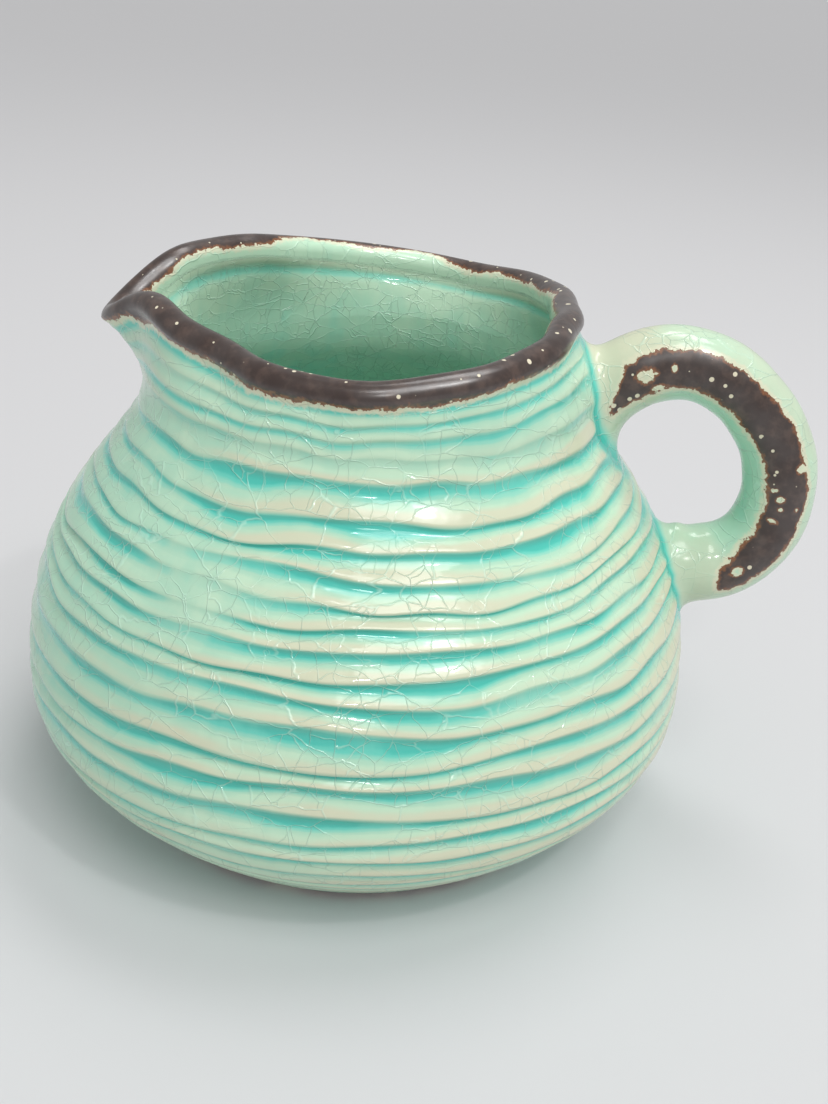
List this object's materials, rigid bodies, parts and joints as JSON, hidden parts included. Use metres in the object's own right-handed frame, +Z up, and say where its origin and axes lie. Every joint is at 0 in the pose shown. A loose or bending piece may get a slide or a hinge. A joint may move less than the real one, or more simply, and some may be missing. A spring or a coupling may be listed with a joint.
{
  "type": "ceramic pitcher",
  "caption": "Squat ribbed ceramic pitcher with a narrow collar, a pulled pouring spout in its wavy rounded lip, and a round ring handle.",
  "frame": {"origin": "centre of the flat underside that the pitcher stands on", "axes": "+Z up through the belly's axis, +X towards the handle, -X towards the spout"},
  "size_m": [0.1735, 0.1498, 0.1183],
  "materials": {
    "crackle_glaze": "glossy turquoise glaze with a fine crackle, paler on the rib crests and darker in the grooves",
    "handle_glaze": "glossy turquoise crackle glaze with a worn brown stripe along the handle's outer side",
    "lip_glaze": "semi-gloss dark brown glaze, worn and chipped to cream along its edge",
    "foot_clay": "unglazed fired clay underneath, with glaze on its curved edge"
  },
  "bodies": {
    "root": {"base_slab": "foot_clay", "belly_wall": "crackle_glaze", "collar": "crackle_glaze", "spout": "crackle_glaze", "lip_band": "lip_glaze", "handle": "handle_glaze", "upper_handle_joint": "crackle_glaze", "lower_handle_joint": "crackle_glaze"}
  },
  "joints": []
}
